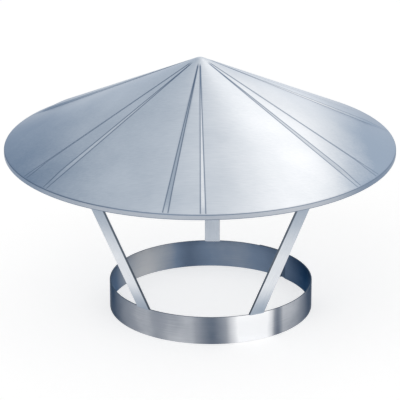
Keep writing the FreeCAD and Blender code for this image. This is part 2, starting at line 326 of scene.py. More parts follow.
@dataclass(frozen=True)
class MetalFinish:
    """A metal surface with fine lines one way, slow clouds, and painted bands of light and shade.

    The lines stretch each highlight across themselves, and the clouds keep a wide plain face from
    looking poured; the bands paint light and shade over the tone. Real roll and brush lines lie
    about 0.05 mm apart, too fine to show from here, so they are drawn line_mm apart. Past
    cut_edge_mm from the sheet's middle lies its sheared edge, which is bare steel, duller and
    darker than the faces. A crease takes a fine line of painted shade in its own colour. The noise
    fields are the ends of the range that a noise node really fills.
    """

    name: str
    light: str
    middle: str
    dark: str
    roughness: float
    roughness_spread: float
    line_mm: float
    line_depth_mm: float
    cloud_mm: float
    line_stretch: float = 1.0
    line_share: float = 0.45
    grain: Grain = Grain.STRAIGHT
    bands: tuple[Band, ...] = ()
    band_share: float = 0.8
    band_base: float = 0.55
    cut_edge_mm: float = 0.0
    cut_edge_fade_mm: tuple[float, float] = (-0.12, 0.08)
    cut_edge: str = "#5d6773"
    crease_shade: str = ""
    edge_tint: str = "#ffffff"
    bump_strength: float = 0.35
    tone_noise: tuple[float, float] = (0.36, 0.64)
    line_noise: tuple[float, float] = (0.3, 0.7)

    def banded(self, tree: bpy.types.NodeTree, place: bpy.types.NodeSocket,
               tone: bpy.types.Node) -> bpy.types.Node:
        """Lay the bands of painted light and shade across the strip over its tone.

        A band's change falls off by a smooth step of the distance along the strip.

        Args:
            tree: the node tree.
            place: the pattern's coordinates.
            tone: the node of the tone without bands.

        Returns:
            The node of the banded tone.
        """
        along = add_node(tree, "ShaderNodeMapping", inputs={
            "Vector": place, "Scale": (1.0, 0.0, 0.0)})
        banded = add_node(tree, "ShaderNodeMix", {"data_type": "FLOAT"}, {
            "Factor": self.band_share, 2: tone, 3: self.band_base})
        for band in self.bands:
            away = add_node(tree, "ShaderNodeVectorMath", {"operation": "DISTANCE"}, {
                0: along, 1: (band.place_mm * MM, 0.0, 0.0)})
            change = add_node(tree, "ShaderNodeMapRange", {"interpolation_type": "SMOOTHSTEP"}, {
                "Value": away, "From Max": band.reach_mm * MM,
                "To Min": band.change, "To Max": 0.0})
            banded = add_node(tree, "ShaderNodeMath", {"operation": "ADD"}, {0: banded, 1: change})
        return banded

    def sheared(self, tree: bpy.types.NodeTree, place: bpy.types.NodeSocket,
                colour: bpy.types.Node) -> bpy.types.Node:
        """Darken the sheared edges on both sides of the sheet's middle.

        Args:
            tree: the node tree.
            place: places on the flat sheet.
            colour: the node of the faces' colour.

        Returns:
            The node of the colour of faces and edges.
        """
        across = add_node(tree, "ShaderNodeSeparateXYZ", inputs={0: place}).outputs["Y"]
        away = add_node(tree, "ShaderNodeMath", {"operation": "ABSOLUTE"}, {0: across})
        inner, outer = self.cut_edge_fade_mm
        edge = add_node(tree, "ShaderNodeMapRange", inputs={
            "Value": away, "From Min": (self.cut_edge_mm + inner) * MM,
            "From Max": (self.cut_edge_mm + outer) * MM})
        return add_node(tree, "ShaderNodeMix", {"data_type": "RGBA"}, {
            "Factor": edge, 6: colour, 7: linear_colour(self.cut_edge)})

    def material(self) -> bpy.types.Material:
        """The finish's node material, which is built where the scene doesn't have it yet."""
        return bpy.data.materials.get(self.name) or self.new_material()

    def new_material(self) -> bpy.types.Material:
        """Build the node material.

        Returns:
            The finished material.
        """
        material, tree = new_tree(self.name)
        place = add_node(tree, "ShaderNodeTexCoord").outputs[self.grain.value]
        along = add_node(tree, "ShaderNodeMapping", inputs={
            "Vector": place, "Scale": (1 / self.line_stretch, 1.0, 1.0)})
        lines = add_node(tree, "ShaderNodeTexNoise", inputs={
            "Vector": along, "Scale": 1 / (self.line_mm * MM), "Detail": 4.0})
        clouds = add_node(tree, "ShaderNodeTexNoise", inputs={
            "Vector": place, "Scale": 1 / (self.cloud_mm * MM), "Detail": 3.0})
        mixed = add_node(tree, "ShaderNodeMix", {"data_type": "FLOAT"}, {
            "Factor": self.line_share, 2: clouds, 3: lines})
        tone = add_node(tree, "ShaderNodeMapRange", inputs={
            "Value": mixed, "From Min": self.tone_noise[0], "From Max": self.tone_noise[1]})
        # bands of painted light and shade over the tone
        if self.bands:
            tone = self.banded(tree, place, tone)
        colour = add_node(tree, "ShaderNodeValToRGB", inputs={"Fac": tone})
        stops = colour.color_ramp.elements
        stops.new(0.5)
        for stop, shade in zip(stops, (self.dark, self.middle, self.light)):
            stop.color = linear_colour(shade)
        if self.cut_edge_mm:
            colour = self.sheared(tree, place, colour)
        if self.crease_shade:
            # painted shade: a fine dark line along each crease
            painted_crease = add_node(tree, "ShaderNodeAttribute", {"attribute_name": CREASE_SHADE})
            colour = add_node(tree, "ShaderNodeMix", {"data_type": "RGBA"}, {
                "Factor": painted_crease.outputs["Fac"], 6: colour, 7: linear_colour(self.crease_shade)})
        rough = add_node(tree, "ShaderNodeMapRange", inputs={
            "Value": lines, "From Min": self.line_noise[0], "From Max": self.line_noise[1],
            "To Min": self.roughness - self.roughness_spread,
            "To Max": self.roughness + self.roughness_spread})
        bump = add_node(tree, "ShaderNodeBump", inputs={
            "Strength": self.bump_strength, "Distance": self.line_depth_mm * MM, "Height": lines})
        shader = add_node(tree, "ShaderNodeBsdfPrincipled", inputs={
            "Base Color": colour, "Metallic": 1.0, "Roughness": rough,
            "Specular Tint": linear_colour(self.edge_tint), "Normal": bump})
        add_node(tree, "ShaderNodeOutputMaterial", inputs={"Surface": shader})
        return material


# Galvanised steel sheet, temper rolled: a satin skin with straight roll lines and faint zinc
# clouds. Wide soft bands across the hood's X paint shade towards its left and right ends and a
# highlight right of the middle, and the rib creases and the lip carry painted shade lines
HOOD_FINISH = MetalFinish(
    "galvanised_steel_sheet_temper_rolled", light="#e4e7ec", middle="#c6ccd4", dark="#8e9db0",
    roughness=0.31, roughness_spread=0.02, line_mm=0.9, line_depth_mm=0.006, cloud_mm=34.0,
    line_stretch=14.0, band_base=0.57, crease_shade="#64748a", edge_tint="#e0e6ee",
    bands=(Band(-160.0, 95.0, -0.6), Band(62.0, 65.0, 0.3), Band(152.0, 92.0, -0.8)))
# Galvanised steel strip, roll formed: faint lines round the collar, under upright bands of painted
# reflection, dark and light, with a painted white highlight at the front right. A band's place is
# its length round the collar from azimuth 0
COLLAR_FINISH = MetalFinish(
    "galvanised_steel_strip_roll_formed", light="#fbfcfe", middle="#9a9fa8", dark="#48586c",
    roughness=0.34, roughness_spread=0.03, line_mm=0.5, line_depth_mm=0.005, cloud_mm=30.0,
    line_stretch=60.0, line_share=0.3, grain=Grain.ALONG_SHEET, band_share=0.85, band_base=0.58,
    cut_edge_mm=10.9, edge_tint="#9ea5b0",
    bands=(Band(380.0, 62.0, -0.6), Band(452.5, 11.0, -0.12), Band(495.1, 16.0, -0.4),
           Band(528.2, 24.5, 0.85), Band(550.1, 6.5, -0.4), Band(607.9, 37.0, -0.6),
           Band(247.6, 40.0, 0.2)))
# The same strip's inner face, darker and bluer as painted shade, rougher, with its own bands of
# painted shade and light
SHADED_INNER_FINISH = replace(
    COLLAR_FINISH, name="galvanised_steel_strip_inner_shaded", light="#babcbf", middle="#74859b",
    dark="#3e4f67", roughness=0.42, band_base=0.5, edge_tint="#8f9cae",
    bands=(Band(151.3, 62.0, -0.45), Band(264.1, 19.0, -0.25), Band(228.3, 21.0, 0.1),
           Band(308.1, 44.0, 0.5), Band(646.4, 62.0, -0.45)))
# Galvanised flat steel bar, linished: fine brush lines along the bar keep it bright, and bands of
# painted shade darken both of its ends, the foot and most of all the upper end and tab under the
# hood
STRAP_FINISH = MetalFinish(
    "galvanised_steel_bar_linished", light="#f4f6f9", middle="#c9d0d9", dark="#93a2b3",
    roughness=0.33, roughness_spread=0.07, line_mm=0.6, line_depth_mm=0.02, cloud_mm=40.0,
    line_stretch=24.0, line_share=0.5, grain=Grain.ALONG_SHEET, band_share=0.75, band_base=0.95,
    cut_edge_mm=5.85, bands=(Band(0.0, 30.0, -0.7), Band(150.0, 120.0, -1.0)))
# The rear bar takes painted shade only over its upper end and tab, on a lighter base tone
REAR_STRAP_FINISH = replace(
    STRAP_FINISH, name="galvanised_steel_bar_linished_rear", light="#eef1f5", band_base=1.1,
    bands=(Band(150.0, 100.0, -0.8),))
# Galvanised steel strip, blanked and folded: satin like the collar, but with no lines
LUG_FINISH = MetalFinish(
    "galvanised_steel_strip_blanked", light="#c8d1dc", middle="#b5bfcb", dark="#a3afbe",
    roughness=0.34, roughness_spread=0.05, line_mm=0.8, line_depth_mm=0.008, cloud_mm=7.0)
# Steel, bright zinc plated: smooth and a little milky, with a faint fine grain
HARDWARE_FINISH = MetalFinish(
    "steel_bright_zinc_plated", light="#d3d6da", middle="#c4c8cd", dark="#b4b8be",
    roughness=0.24, roughness_spread=0.04, line_mm=0.4, line_depth_mm=0.004, cloud_mm=5.0)


def drill(obj: bpy.types.Object, cutter: bpy.types.Object) -> None:
    """Cut a hole through a piece and remove the cutter.

    Args:
        obj: the piece.
        cutter: a closed mesh of the hole's shape.
    """
    hole = obj.modifiers.new("hole", "BOOLEAN")
    hole.operation = "DIFFERENCE"
    hole.solver = "EXACT"
    hole.object = cutter
    bpy.context.view_layer.update()
    cut = bpy.data.meshes.new_from_object(obj.evaluated_get(bpy.context.evaluated_depsgraph_get()))
    obj.modifiers.clear()
    obj.data = cut
    cut.materials.clear()
    cut.set_sharp_from_angle(angle=math.radians(SHARP_ANGLE))
    bpy.data.objects.remove(cutter)


def hand_over(obj: bpy.types.Object, body: Body, slot: Slot, *nodes: str) -> None:
    """Let a piece ride on its body and stand for its solids.

    Args:
        obj: the finished piece.
        body: the body that carries it.
        slot: the material slot that it takes its finish from; not used.
        nodes: the solids that it stands for.
    """
    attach(obj, body.value)
    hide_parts(*nodes)
    LOG.info("%s rides on %s", obj.name, body.value)


@dataclass
class Hood:
    """The ribbed cone: one closed section turned about its axis, with ribs raised along its normal.

    Angles are in degrees. The lip_line fields give the place and width of the painted shade line
    along the lip's bend, as shares of its arc, and how fast the painted shade line below it rises.
    Rows and columns are counts of the grid's.
    """

    axis_x: float = -8.4 * MM
    rise: float = 71.0 * MM
    sheet: float = 0.8 * MM
    lip_depth: float = 4.0 * MM
    lip_bottom: float = 128.3 * MM
    hem_height: float = 3.0 * MM
    bend_radius: float = 1.2 * MM
    nose_radius: float = 8.0 * MM
    full_radius: float = 150.0 * MM
    ribs: tuple[float, ...] = (-121.0, -55.2, -4.4, 57.0, 106.5, 160.0)
    rib_top_angle: float = 9.0
    rib_wall_angle: float = 1.5
    rib_height: float = 1.3 * MM
    rib_start: float = 9.0 * MM
    rib_ramp: float = 20.0 * MM
    crease_share: float = 0.16
    # width of the painted shade line at each rib crease
    crease_shade_width: float = 0.42 * MM
    crease_margin: float = 0.5
    # painted shade over the lip's face, as a share
    lip_face_shade: float = 0.35
    lip_line_place: float = 0.4
    lip_line_width: float = 0.3
    lip_line_rise: float = 7.0
    column_step: float = 1.2
    wall_columns: int = 21
    nose_rows: int = 8
    cone_rows: int = 44
    rim_rows: int = 8
    rim_share: float = 0.05
    bend_rows: int = 9
    fold_rows: int = 9

    @property
    def slope(self) -> float:
        """The cone's slope in radians."""
        return math.atan2(self.rise, self.full_radius)

    def cone_height(self, radius: float) -> float:
        """Height of the cone's outer face at a radius from its axis."""
        return self.lip_bottom + self.lip_depth + self.rise * (1 - radius / self.full_radius)

    def rib_gap(self, azimuth: np.ndarray) -> np.ndarray:
        """Angle from each azimuth to the nearest rib's middle, in radians."""
        turn = azimuth[:, None] - np.radians(self.ribs)[None, :] + math.pi
        return np.abs(turn % FULL_TURN - math.pi).min(axis=1)

    def column_azimuths(self) -> np.ndarray:
        """Place the columns at even steps, and closer ones over each rib's side walls.

        Returns:
            Azimuths in radians, in order.
        """
        even = np.radians(np.arange(0.0, DEGREES_ROUND, self.column_step))
        near = math.radians(self.rib_top_angle / 2 - self.crease_margin)
        far = math.radians(self.rib_top_angle / 2 + self.rib_wall_angle + self.crease_margin)
        gap = self.rib_gap(even)
        even = even[(gap < near) | (gap > far)]
        across = np.linspace(near, far, self.wall_columns)
        sides = np.radians(self.ribs)[:, None] + np.concatenate([-across[::-1], across])[None, :]
        return np.sort(np.concatenate([even, sides.ravel() % FULL_TURN]))

    def rib_share(self, radius: np.ndarray) -> np.ndarray:
        """A rib's height as a share of the greatest: in line with the radius, then run out.

        Args:
            radius: radii from the hood's axis.

        Returns:
            0 to 1 for each radius.
        """
        end = self.full_radius - self.bend_radius
        full = end - self.rib_ramp
        rising = np.clip((radius - self.rib_start) / (full - self.rib_start), 0, 1)
        return rising * (1 - smooth_step((radius - full) / (end - full)))

    def rib_lift(self, azimuth: np.ndarray, radius: np.ndarray) -> np.ndarray:
        """How far the sheet is raised along its normal.

        A rib's top follows the cone. Each side wall falls in a straight line whose two ends are
        rounded over a small share of its width by parabolas.

        Args:
            azimuth: azimuths in radians, one to a column.
            radius: radii from the hood's axis, one to a row.

        Returns:
            Lift, rows by columns.
        """
        past_top = self.rib_gap(azimuth) - math.radians(self.rib_top_angle) / 2
        down = np.clip(past_top / math.radians(self.rib_wall_angle), 0, 1)
        ease = self.crease_share
        straight = (down - ease / 2) / (1 - ease)
        first = down**2 / (2 * ease * (1 - ease))
        last = 1 - (1 - down) ** 2 / (2 * ease * (1 - ease))
        fall = np.where(down < ease, first, np.where(down > 1 - ease, last, straight))
        return self.rib_height * self.rib_share(radius)[:, None] * (1 - fall)[None, :]

    def rib_crease_shade(self, azimuth: np.ndarray, radius: np.ndarray) -> np.ndarray:
        """Painted shade lines where the rib walls fold: a bell curve of the distance to a wall's
        top or foot.

        Args:
            azimuth: azimuths in radians, one to a column.
            radius: radii from the hood's axis, one to a row.

        Returns:
            0 to 1, rows by columns.
        """
        gap = self.rib_gap(azimuth)[None, :]
        top = math.radians(self.rib_top_angle) / 2
        foot = top + math.radians(self.rib_wall_angle)
        reach = radius[:, None] / self.crease_shade_width
        lines = np.exp(-((gap - top) * reach) ** 2) + np.exp(-((gap - foot) * reach) ** 2)
        inside = (radius > self.rib_start) & (radius < self.full_radius - self.bend_radius)
        return np.clip(lines, 0, 1) * inside[:, None]

    def lip_shade_rows(self) -> tuple[np.ndarray, np.ndarray]:
        """The lip's painted shade: a line along its bend, a darker face, a line below it.

        The upper line is a bell curve over the bend. The lower one rises and falls by smooth steps
        over the fold.

        Returns:
            0 to 1 for each row of the bend, and of the fold.
        """
        unshaded = 1 - self.lip_face_shade
        turn = np.linspace(0, 1, self.bend_rows)
        line = np.exp(-((turn - self.lip_line_place) / self.lip_line_width) ** 2)
        bend = self.lip_face_shade * smooth_step(turn * 2) + unshaded * line
        turn = np.linspace(0, 1, self.fold_rows)
        line = unshaded * smooth_step(turn * self.lip_line_rise)
        return bend, (self.lip_face_shade + line) * (1 - smooth_step(turn * 2 - 1))

    def section(self, rim: float) -> tuple[np.ndarray, np.ndarray, np.ndarray]:
        """The folded sheet's closed section, from the crown out, round the hem and back inside.

        Args:
            rim: the radius of the lip.

        Returns:
            Radii with heights, 1 where a row lies on the cone and may be raised, else 0, and how
            much painted shade each row of the lip takes.
        """
        slope = self.slope
        lip_top = self.lip_bottom + self.lip_depth
        centre = np.array([0.0, lip_top + self.rise - self.nose_radius / math.cos(slope)])
        crown = from_upright(np.linspace(0, slope, self.nose_rows))
        nose = centre + self.nose_radius * crown
        inner_nose = centre + (self.nose_radius - self.sheet) * crown

        setback = self.bend_radius * math.tan((math.pi / 2 - slope) / 2)
        bend_start = np.array([
            rim - setback * math.cos(slope), lip_top + setback * math.sin(slope)])
        bend_turn = np.linspace(slope, math.pi / 2, self.bend_rows)
        bend_centre = np.array([rim - self.bend_radius, lip_top - setback])
        bend = bend_centre + self.bend_radius * from_upright(bend_turn)
        fold_turn = np.linspace(math.pi / 2, 3 * math.pi / 2, self.fold_rows)
        fold_centre = np.array([rim - self.sheet, self.lip_bottom + self.sheet])
        fold = fold_centre + self.sheet * from_upright(fold_turn)

        lip_inner = rim - self.sheet
        hem_top = self.lip_bottom + self.hem_height
        under_cone = self.cone_height(lip_inner) - self.sheet / math.cos(slope)
        back = np.array([
            [rim - 2 * self.sheet, hem_top], [lip_inner, hem_top], [lip_inner, under_cone]])
        cone = np.linspace(nose[-1], bend_start, self.cone_rows)[1:]
        rim_start = bend_start - (bend_start - nose[-1]) * self.rim_share
        cone = np.concatenate([cone[cone[:, 0] < rim_start[0]],
                               np.linspace(rim_start, bend_start, self.rim_rows)])
        inner_cone = np.linspace(back[-1], inner_nose[-1], self.cone_rows)[1:]

        bend_shade, fold_shade = self.lip_shade_rows()
        parts = [(nose, 0, 0), (cone, 1, 0), (bend, 0, bend_shade), (fold, 0, fold_shade),
                 (back, 0, 0), (inner_cone, 1, 0), (inner_nose[-2::-1], 0, 0)]
        raised, lip_shade = (
            np.concatenate([np.broadcast_to(part[index], len(part[0])) for part in parts])
            for index in (1, 2))
        return np.concatenate([part[0] for part in parts]), raised, lip_shade

    def build(self) -> bpy.types.Object:
        """Turn the section about the hood's axis and raise its ribs.

        A point is the axis plus its radius along the azimuth, at its height, and the cone's rows
        move by the rib's lift along the cone's normal.

        Returns:
            The hood's object.
        """
        low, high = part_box("hood")
        path, raised, lip_shade = self.section(min(high[0] - low[0], high[1] - low[1]) / 2)
        azimuth = self.column_azimuths()
        lift = self.rib_lift(azimuth, path[:, 0]) * raised[:, None]
        # painted shade lines at the rib creases, plus the lip's painted shade
        crease_shading = self.rib_crease_shade(azimuth, path[:, 0]) * raised[:, None] + lip_shade[:, None]
        reach = path[:, :1] + lift * math.sin(self.slope)
        level = path[:, 1:] + lift * math.cos(self.slope)
        points = reach[..., None] * radial(azimuth)[None, :, :] + level[..., None] * UP
        points[..., 0] += self.axis_x
        return Surface().add_grid(points, crease_shade=crease_shading).to_object("ribbed_hood")

    def dress(self, obj: bpy.types.Object) -> None:
        """Give the hood its temper-rolled sheet."""
        obj.data.materials.append(HOOD_FINISH.material())


@dataclass
class Collar:
    """The clamping strip: a rounded section carried once round, over the joggle and the lap."""

    radius: float = 78.8 * MM
    sheet: float = 1.0 * MM
    height: float = 22.0 * MM
    edge: float = 0.28 * MM
    lap_azimuth: float = 134.0
    lap_angle: float = 16.0
    joggle_angle: float = 3.6
    joggle_offset_angle: float = 1.0
    clearance: float = 0.1 * MM
    strip_rings: int = 420
    joggle_rings: int = 14
    lap_rings: int = 30
    side_points: int = 3

    def build(self) -> bpy.types.Object:
        """Carry the section along the azimuth.

        The strip's middle radius is constant, then eases out by one sheet and the clearance over
        the joggle by a smooth step, and stays there to the end of the lap.

        Returns:
            The collar's object.
        """
        joggle_end = self.lap_azimuth - self.joggle_offset_angle + DEGREES_ROUND
        joggle_start = joggle_end - self.joggle_angle
        lap_end = self.lap_azimuth + self.lap_angle + DEGREES_ROUND
        azimuth = np.concatenate([
            np.linspace(self.lap_azimuth, joggle_start, self.strip_rings, endpoint=False),
            np.linspace(joggle_start, joggle_end, self.joggle_rings, endpoint=False),
            np.linspace(joggle_end, lap_end, self.lap_rings)])
        share_out = smooth_step((azimuth - joggle_start) / self.joggle_angle)
        middle = self.radius - self.sheet / 2 + (self.sheet + self.clearance) * share_out
        section = rounded_section(self.height, self.sheet, self.edge, self.side_points)
        angle = np.radians(azimuth)
        reach = middle[:, None] + section[None, :, 1]
        level = self.height / 2 + section[None, :, 0]
        points = reach[..., None] * radial(angle)[:, None, :] + level[..., None] * UP
        bar = Surface().add_bar(points, angle * self.radius, section[None, :, 0])
        return bar.to_object("collar_strip")

    def dress(self, obj: bpy.types.Object) -> None:
        """Give the collar its roll-formed strip, and a darker finish of painted shade where a face
        looks inwards.

        Args:
            obj: the collar.
        """
        mesh = obj.data
        for finish in (COLLAR_FINISH, SHADED_INNER_FINISH):
            mesh.materials.append(finish.material())
        centres = np.empty(len(mesh.polygons) * 3)
        normals = np.empty(len(mesh.polygons) * 3)
        mesh.polygons.foreach_get("center", centres)
        mesh.polygons.foreach_get("normal", normals)
        facing = (centres * normals).reshape(-1, 3)[:, :2].sum(axis=1)
        inwards = facing < -self.radius / 2
        mesh.polygons.foreach_set("material_index", inwards.astype(np.int32))


@dataclass
class Strap:
    """A flat bar from the collar's edge up to a tab that is spot-welded under the cone.

    The bead fields are its radius, its ripple's length and share of the radius, how far it is set
    out and runs past the bar as shares of the radius, and how squarely it ends.
    """

    name: str
    foot_azimuth: float
    top_azimuth: float
    finish: MetalFinish = STRAP_FINISH
    width: float = 12.0 * MM
    thickness: float = 2.0 * MM
    edge: float = 0.32 * MM
    bend_radius: float = 5.0 * MM
    top_radius: float = 133.0 * MM
    tab_length: float = 20.0 * MM
    tab_clearance: float = 0.15 * MM
    foot_gap: float = 0.03 * MM
    weld: SpotWeld = SpotWeld(2.3 * MM, 0.22 * MM)
    weld_places: tuple[float, ...] = (6.0 * MM, 14.0 * MM)
    bead_radius: float = 0.6 * MM
    bead_ripple: float = 1.3 * MM
    bead_swing: float = 0.12
    bead_set_out: float = 0.35
    bead_overrun: float = 0.5
    bead_end_power: int = 8
    run_rings: int = 30
    bend_rings: int = 12
    tab_rings: int = 44
    side_points: int = 26
    bead_rings: int = 61
    bead_points: int = 16

    def path(self, hood: Hood, collar: Collar) -> tuple[np.ndarray, ...]:
        """The bar's middle line: a straight run, an arc of the bend radius, and the straight tab.

        Args:
            hood: the hood that the tab lies under.
            collar: the collar that the foot stands on.

        Returns:
            Points, directions, lengths along the line, and 0 on the foot to 1 from the bend on.
        """
        top = radial(math.radians(self.top_azimuth))
        foot = radial(math.radians(self.foot_azimuth)) * (collar.radius - collar.sheet / 2)
        foot = foot + UP * (collar.height + self.foot_gap)
        drop = (hood.sheet + self.tab_clearance + self.thickness / 2) / math.cos(hood.slope)
        corner = top * self.top_radius + UP * (hood.cone_height(self.top_radius) - drop)
        corner[0] += hood.axis_x
        tab = UP * math.sin(hood.slope) - top * math.cos(hood.slope)
        run = unit(corner - foot)
        turn = math.acos(float(run @ tab))
        setback = self.bend_radius * math.tan(turn / 2)
        start, end = corner - run * setback, corner + tab * setback
        inward = unit(tab - run * float(run @ tab))

        step = np.linspace(0, 1, self.run_rings, endpoint=False)[:, None]
        arc = np.linspace(0, turn, self.bend_rings)[:, None]
        tab_step = np.linspace(0, 1, self.tab_rings)[1:, None]
        points = np.concatenate([
            foot + (start - foot) * step,
            start + self.bend_radius * (run * np.sin(arc) + inward * (1 - np.cos(arc))),
            end + (corner + tab * self.tab_length - end) * tab_step])
        directions = np.concatenate([
            np.repeat(run[None], len(step), axis=0), run * np.cos(arc) + inward * np.sin(arc),
            np.repeat(tab[None], len(tab_step), axis=0)])
        length = run_length(points)
        return points, directions, length, np.minimum(length / np.linalg.norm(start - foot), 1.0)

    def add_bar(self, surface: Surface, hood: Hood, collar: Collar) -> None:
        """Carry the rounded section along the middle line.

        Its width turns evenly from the collar's rim at the foot to the hood's rim at the tab. The
        foot is cut level: its points slide along the bar to the collar's edge. Each spot weld is a
        dish in the tab's lower face.

        Args:
            surface: the mesh in the making.
            hood: the hood that the tab lies under.
            collar: the collar that the foot stands on.
        """
        points, along, length, blend = self.path(hood, collar)
        rims = [tangent(math.radians(angle)) for angle in (self.foot_azimuth, self.top_azimuth)]
        wide = rims[0] * (1 - blend[:, None]) + rims[1] * blend[:, None]
        wide = unit(wide - along * np.sum(wide * along, axis=1, keepdims=True))
        through = np.cross(along, wide)
        section = rounded_section(self.width, self.thickness, self.edge, self.side_points)
        across, depth = section[None, :, 0], section[None, :, 1]

        lower = np.sign(through[-1, 2]) * depth < 0
        from_end = (length[-1] - length)[:, None]
        dish = sum(self.weld.dish(from_end - place, across) for place in self.weld_places)
        depth = depth - np.sign(depth) * dish * lower
        rings = (points[:, None] + wide[:, None] * across[..., None]
                 + through[:, None] * depth[..., None])
        level = collar.height + self.foot_gap
        rings[0] += along[0] * ((level - rings[0, :, 2:]) / along[0, 2])
        surface.add_bar(rings, length, across)

    def add_weld_bead(self, surface: Surface, collar: Collar, side: int) -> None:
        """Lay a rippled bead where the foot meets the collar.

        The bead is a row of circles across the foot. Their radius ripples by a sine along the bead
        and falls to nothing at both ends by the root of one less a high power of the place.

        Args:
            surface: the mesh in the making.
            collar: the collar under the foot.
            side: 1 for the bead outside the collar and -1 for the one inside.
        """
        foot = math.radians(self.foot_azimuth)
        set_out = collar.sheet / 2 + self.bead_radius * self.bead_set_out
        reach = collar.radius - collar.sheet / 2 + side * set_out
        half = self.width / 2 + self.bead_radius * self.bead_overrun
        step = np.linspace(-1, 1, self.bead_rings)
        swell = np.sqrt(np.clip(1 - np.abs(step) ** self.bead_end_power, 0, 1))
        ripple = 1 + self.bead_swing * np.sin(step * half / self.bead_ripple * FULL_TURN)
        radius = self.bead_radius * swell * ripple
        turn = full_circle(self.bead_points)
        middle = radial(foot) * reach + UP * collar.height + tangent(foot) * (step * half)[:, None]
        ring = radial(foot) * np.cos(turn)[:, None] + UP * np.sin(turn)[:, None]
        surface.add_grid(middle[:, None] + ring[None] * radius[:, None, None])

    def build(self, hood: Hood, collar: Collar) -> bpy.types.Object:
        """Build the bar with the beads at its foot.

        Args:
            hood: the hood that the tab lies under.
            collar: the collar that the foot stands on.

        Returns:
            The strap's object.
        """
        surface = Surface()
        self.add_bar(surface, hood, collar)
        for side in (1, -1):
            self.add_weld_bead(surface, collar, side)
        return surface.to_object(self.name)

    def dress(self, obj: bpy.types.Object) -> None:
        """Give the strap its linished bar."""
        obj.data.materials.append(self.finish.material())


